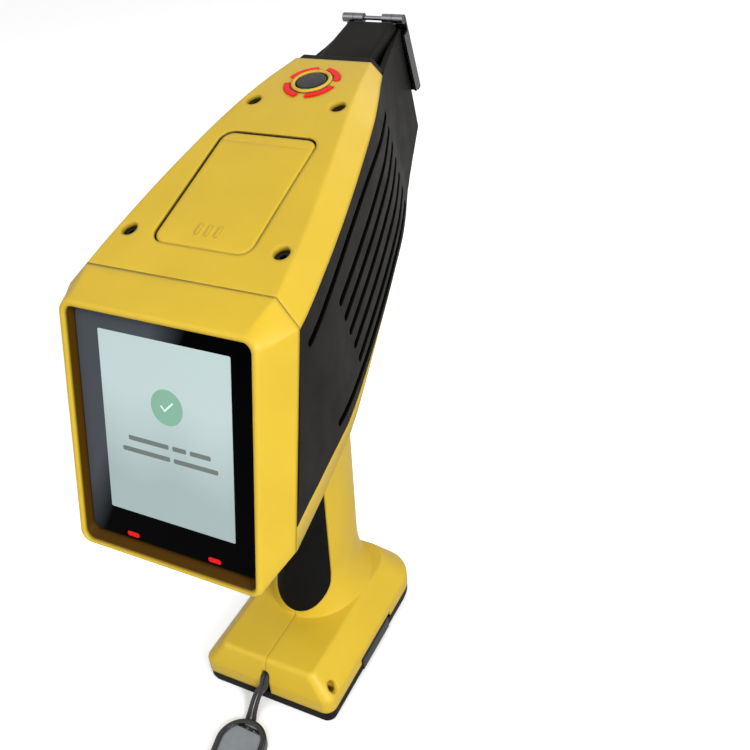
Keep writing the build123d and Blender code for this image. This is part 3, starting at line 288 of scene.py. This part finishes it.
YELLOW = (0.60, 0.405, 0.026)
BLACK = (0.0085, 0.0078, 0.0064)
# the crevice values give the reach of the painted shade in hollows, in metres
PAINTS = {
    "yellow_shell": moulded("yellow_plastic", YELLOW, 0.42, edge=0.0020, specular=0.3, crevice=0.0035),
    "door_yellow": moulded("yellow_door", YELLOW, 0.42, edge=0.0022, specular=0.3),
    "black_shell": moulded("black_plastic", BLACK, 0.42, grain=2200, depth=0.000016, edge=0.0005, tone=0.12,
                           specular=0.04, crevice=0.004),
    "dark_rubber": rubber("grip_rubber", (0.006, 0.006, 0.006)),
    "grey_button": moulded("grey_plastic", (0.006, 0.006, 0.007), 0.34, edge=0.0005, tone=0.1,
                           specular=0.25),
    "smoke_glass": black_glass("cover_glass"),
    "lcd": moulded("display_frame", (0.30, 0.32, 0.33), 0.35),
    "red_lens": lamp("red_lens", (0.75, 0.004, 0.008), 0.75),
    "steel": metal("brushed_steel", (0.16, 0.16, 0.165), 0.24, stretch=(0.15, 1, 1), edge=0.0),
    "screw_steel": metal("black_screw_steel", (0.03, 0.03, 0.033), 0.38),
    "aluminium": metal("machined_aluminium", (0.68, 0.69, 0.71), 0.35, stretch=(1, 0.2, 1)),
    "board": moulded("circuit_board", (0.015, 0.11, 0.05), 0.35, grain=1500, depth=0.00002),
    "foam": rubber("foam_seal", (0.03, 0.03, 0.03)),
    "potting": moulded("potting_resin", (0.03, 0.03, 0.035), 0.3),
    "brass": metal("plated_brass", (0.75, 0.58, 0.28), 0.22),
    "film": moulded("window_film", (0.30, 0.20, 0.07), 0.2, depth=0.000004),
    "cord": braid("braided_cord", (0.006, 0.006, 0.006)),
    "fob_black": moulded("fob_plastic", (0.012, 0.012, 0.013), 0.25, grain=1800, edge=0.0006),
    "fob_grey": metal("fob_satin", (0.300, 0.325, 0.350), 0.42, scale=300),
}

HANDLE_PAINT = moulded("yellow_handle", YELLOW, 0.42, edge=0.0014, specular=0.3)

HOOD_PAINTED_SHADE = (0.042, 0.015, 0.0015)     # colour of the painted shade on the hood's inner wall
HOOD_HALF = 38.2                        # half width of the shaded wall
HOOD_HEAD, HOOD_SILL = -1.2, -94.6      # its ends, down from the top of the rim
SHADE_START, SHADE_END = -0.2, -1.3     # where it sets in and is full, below the rim


def bezel_paint():
    """The bezel's yellow, with a painted deep shade on the hood's inner wall from the lip to the glass,
    where its gloss also fades.
    """
    shader = mould_shader("yellow_bezel", YELLOW, 0.42, edge=0.0016, specular=0.3, crevice=0.0035)
    down, outward = SCREEN.col[1].xyz, SCREEN.col[2].xyz
    across = shader.along((1, 0, 0), 0)
    drop = shader.along(down, SCREEN.translation.dot(down))
    depth = shader.along(outward, SCREEN.translation.dot(outward))
    side = shader.maths("LESS_THAN", shader.maths("ABSOLUTE", across), HOOD_HALF * MM)
    below = shader.maths("LESS_THAN", drop, HOOD_HEAD * MM)
    above = shader.maths("GREATER_THAN", drop, HOOD_SILL * MM)
    inside = shader.maths("MULTIPLY", shader.maths("MULTIPLY", side, below), above)
    fade = shader.spread(depth, 0.97, 0.0, SHADE_END * MM, SHADE_START * MM)
    # painted shade: the inner wall darkens and loses its gloss from the lip inward
    shade = shader.maths("MULTIPLY", inside, fade)
    dark = shader.node("MixRGB", Color2=(*HOOD_PAINTED_SHADE, 1))
    colour = shader.main.inputs["Base Color"]
    shader.link(colour.links[0].from_socket, dark.inputs["Color1"])
    shader.link(shade, dark.inputs["Fac"])
    shader.link(dark.outputs["Color"], colour)
    shader.link(shader.spread(shade, 0.3, 0.02, 0.0, 1.0), shader.main.inputs["Specular IOR Level"])
    return shader.material


NODE_PAINTS = {"handle_shell_left": HANDLE_PAINT, "handle_shell_right": HANDLE_PAINT,
               "rear_bezel": bezel_paint()}
SPLIT_ANGLE = 28                        # degrees, above which an edge is sharp
SPLIT_ANGLES = {"handle_shell_left": 50, "handle_shell_right": 50}
WELD_REACH = 0.000002


def paint(piece, material):
    """Give a piece its one material."""
    piece.data.materials.clear()
    piece.data.materials.append(material)


def dress_cad_nodes():
    """Give every carried-over node its material and smooth its curved faces."""
    slot_of = {row["node"]: row["material_slot"] for row in frame["record"]["subparts"]}
    for name, piece in nodes.items():
        paint(piece, NODE_PAINTS.get(name, PAINTS[slot_of[name]]))
        shade_by_angle(piece, SPLIT_ANGLES.get(name, SPLIT_ANGLE))


def shade_by_angle(piece, degrees):
    """Smooth shading with sharp edges above an angle, on the welded mesh."""
    piece.data.shade_smooth()
    weld = piece.modifiers.new("weld", "WELD")
    weld.merge_threshold = WELD_REACH
    split = piece.modifiers.new("edges", "EDGE_SPLIT")
    split.split_angle = math.radians(degrees)


# ---------------------------------------------------------------- pieces
def new_piece(name, vertices, faces, material, place, body):
    """A mesh piece given in millimetres in its own frame, riding on a body."""
    mesh = bpy.data.meshes.new(name)
    mesh.from_pydata([MM * (place @ Vector(v)) for v in vertices], [], faces)
    piece = bpy.data.objects.new(name, mesh)
    bpy.context.collection.objects.link(piece)
    paint(piece, material)
    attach(piece, body)
    return piece


def flat_outline(points, z, thickness):
    """Vertices and faces of a flat plate from a closed outline."""
    count = len(points)
    vertices = [(x, y, z) for x, y in points] + [(x, y, z - thickness) for x, y in points]
    sides = [(i, i + count, (i + 1) % count + count, (i + 1) % count) for i in range(count)]
    return vertices, [tuple(range(count)), tuple(reversed(range(count, 2 * count)))] + sides


def rounded_outline(x, y, width, height, radius, steps=6):
    """Corner points of a rounded rectangle about a centre, anticlockwise."""
    points = []
    for i, (sx, sy) in enumerate(((1, 1), (-1, 1), (-1, -1), (1, -1))):
        cx, cy = x + sx * (width / 2 - radius), y + sy * (height / 2 - radius)
        for k in range(steps + 1):
            angle = (i + k / steps) * math.pi / 2
            points.append((cx + radius * math.cos(angle), cy + radius * math.sin(angle)))
    return points


TEXT_ROWS = [(14.9, (17.2, 5.8, 8.6)), (19.5, (20.4, 18.4))]    # drop below the disc, dash lengths
TEXT_HEIGHT, TEXT_GAP = 1.8, 1.5
DISC_PLACE, DISC_RADIUS, DISC_SIDES = (0.6, -32.9), 6.6, 64
FACE_RISE, SHEET = 0.04, 0.02           # lit face above the glass, and its thickness
TICK = [(-2.7, 0.1), (-0.9, -1.8), (2.8, 1.9), (2.35, 2.35), (-0.9, -0.95), (-2.25, 0.5)]


def display():
    """Lit face of the display on the glass, with a plain tick in a disc and two rows of blank dashes."""
    level = -HOOD_DEPTH + FACE_RISE
    centre = (LCD_TOP + LCD_FOOT) / 2
    panel = lit_panel("display_face", (0.205, 0.265, 0.262), (0.335, 0.415, 0.412), 0.42, bands=0.06)
    disc = lit_panel("display_disc", (0.130, 0.265, 0.195), (0.155, 0.305, 0.225), 0.38)
    mark = lit_panel("display_mark", (0.45, 0.60, 0.53), (0.50, 0.66, 0.58), 0.42)
    dark = lit_panel("display_dashes", (0.10, 0.13, 0.12), (0.12, 0.15, 0.14), 0.08)
    shapes = [("display_field", rounded_outline(0, centre, LCD_WIDTH, LCD_TOP - LCD_FOOT, 0.6), 0.0, panel)]
    x0, y0 = DISC_PLACE
    turns = [math.tau * i / DISC_SIDES for i in range(DISC_SIDES)]
    circle = [(x0 + DISC_RADIUS * math.cos(turn), y0 + DISC_RADIUS * math.sin(turn)) for turn in turns]
    shapes.append(("display_disc", circle, 0.015, disc))
    shapes.append(("display_tick", [(x + x0, y + y0) for x, y in TICK], 0.03, mark))
    for row, (drop, dashes) in enumerate(TEXT_ROWS):
        x = x0 - (sum(dashes) + TEXT_GAP * (len(dashes) - 1)) / 2
        for i, dash in enumerate(dashes):
            outline = rounded_outline(x + dash / 2, y0 - drop, dash, TEXT_HEIGHT, 0.6)
            shapes.append((f"display_dash_{row + 1}_{i + 1}", outline, 0.015, dark))
            x += dash + TEXT_GAP
    for name, points, rise, material in shapes:
        vertices, faces = flat_outline(points, level + rise, SHEET)
        new_piece(name, vertices, faces, material, SCREEN, "housing")


CORD_POINTS = [(-1.1, -43.25, 14.4), (-1.1, -43.25, 17.2), (-1.1, -46.6, 17.2), (-1.15, -48.35, 12.6),
               (-4.7, -48.6, 7.6), (-5.4, -51.0, 4.6), (-4.9, -56.0, 1.7), (-3.93, -59.61, 1.25),
               (-1.6, -69.69, 1.25), (1.61, -68.95, 1.25), (-0.72, -58.87, 1.25), (-2.6, -55.4, 1.7),
               (-3.2, -50.6, 4.6), (-2.5, -48.5, 7.6), (1.1, -48.35, 12.6), (1.1, -46.6, 17.2),
               (1.1, -43.25, 17.2), (1.1, -43.25, 14.4)]
CORD_RADIUS = 1.0


def lanyard_cord():
    """The thin cord on one smooth line, from the foot's bar round the fob's post and back."""
    curve = bpy.data.curves.new("cord_line", "CURVE")
    curve.dimensions = "3D"
    curve.bevel_depth = CORD_RADIUS * MM
    curve.bevel_resolution = 4
    curve.resolution_u = 10
    curve.use_fill_caps = True
    line = curve.splines.new("NURBS")
    line.points.add(len(CORD_POINTS) - 1)
    for point, place in zip(line.points, CORD_POINTS):
        point.co = (*(MM * c for c in place), 1)
    line.order_u = 3
    line.use_endpoint_u = True
    cord = bpy.data.objects.new("cord_line", curve)
    bpy.context.collection.objects.link(cord)
    curve.materials.append(PAINTS["cord"])
    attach(cord, "housing")
    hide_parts("lanyard_cord")


# ---------------------------------------------------------------- studio
FLOOR_SIZE, FLOOR_GLOW = 8, 0.62        # metres, and the glow that only the camera sees
FLOOR_PALE, FLOOR_DARK, FLOOR_PATCH = 0.80, 0.16, 0.88
SHADOW_REACH = 0.05                     # metres round the foot in which the glow fades, as painted shadow
WORLD_LIGHT, WORLD_SEEN = 0.30, 1.0
LAMPS = [("key", (1.05, -0.50, 0.75), (0, 0, 0.12), 0.5, 17),       # place, target, size, watts
         ("fill", (-0.40, -0.85, 0.85), (0, 0, 0.10), 0.9, 4.6),
         ("low", (0.16, -0.62, 0.26), (0, -0.02, 0.03), 0.3, 0.9),
         ("rim", (0.3, 0.95, 0.8), (0, 0, 0.15), 0.6, 2.5)]


def grey(level):
    """An opaque grey."""
    return (level, level, level, 1)


def seen_rays(tree):
    """1 for the rays that see a surface: from the camera, mirrored, or through glass."""
    path = tree.nodes.new("ShaderNodeLightPath").outputs
    seen = path["Is Camera Ray"]
    for name in ("Is Glossy Ray", "Is Transmission Ray"):
        either = tree.nodes.new("ShaderNodeMath")
        either.operation = "MAXIMUM"
        tree.links.new(seen, either.inputs[0])
        tree.links.new(path[name], either.inputs[1])
        seen = either.outputs["Value"]
    return seen


def add_floor():
    """Plain floor, pale where seen or mirrored, and dark in the light that it throws back; its glow fades
    near the instrument as painted shadow.
    """
    bpy.ops.mesh.primitive_plane_add(size=FLOOR_SIZE)
    floor = bpy.context.object
    floor.name = "floor"
    shader = Shader("floor")
    shader.set(Roughness=0.8, Specular_IOR_Level=0.1, Emission_Color=(1, 1, 1, 1))
    tone = shader.node("MixRGB", Color1=grey(FLOOR_DARK), Color2=grey(FLOOR_PALE))
    shader.link(seen_rays(shader.tree), tone.inputs["Fac"])
    patch = shader.node("MixRGB", Color2=grey(FLOOR_PATCH))
    shader.link(tone.outputs["Color"], patch.inputs["Color1"])
    shader.link(shader.spread(shader.noise(3, 2), 0.0, 0.05), patch.inputs["Fac"])
    shader.link(patch.outputs["Color"], shader.main.inputs["Base Color"])
    # painted shadow: the camera glow fades close to the instrument
    painted_shadow = shader.node("AmbientOcclusion", Distance=SHADOW_REACH)
    painted_shadow.samples = 12
    camera_ray = shader.node("LightPath").outputs["Is Camera Ray"]
    glow = shader.spread(camera_ray, 0.0, FLOOR_GLOW, 0.0, 1.0)
    shader.link(shader.maths("MULTIPLY", glow, painted_shadow.outputs["AO"]), shader.main.inputs["Emission Strength"])
    paint(floor, shader.material)


def add_lamps():
    """Soft square lamps that look at the instrument, strongest from the operator's right."""
    for name, place, target, size, power in LAMPS:
        light = bpy.data.lights.new(name, "AREA")
        light.size, light.energy = size, power
        holder = bpy.data.objects.new(name, light)
        holder.location = place
        holder.rotation_euler = (Vector(target) - Vector(place)).to_track_quat("-Z", "Y").to_euler()
        bpy.context.collection.objects.link(holder)


def add_world():
    """Pale surroundings: white where seen or mirrored, and softer as a light."""
    world = bpy.data.worlds.new("studio")
    world.use_nodes = True
    tree = world.node_tree
    strength = tree.nodes.new("ShaderNodeMapRange")
    strength.inputs["To Min"].default_value = WORLD_LIGHT
    strength.inputs["To Max"].default_value = WORLD_SEEN
    tree.links.new(seen_rays(tree), strength.inputs["Value"])
    background = tree.nodes["Background"]
    background.inputs["Color"].default_value = (1, 1, 1, 1)
    tree.links.new(strength.outputs["Result"], background.inputs["Strength"])
    bpy.context.scene.world = world


add_camera()
dress_cad_nodes()
display()
lanyard_cord()
add_floor()
add_lamps()
add_world()
bpy.context.scene.view_settings.view_transform = "Standard"
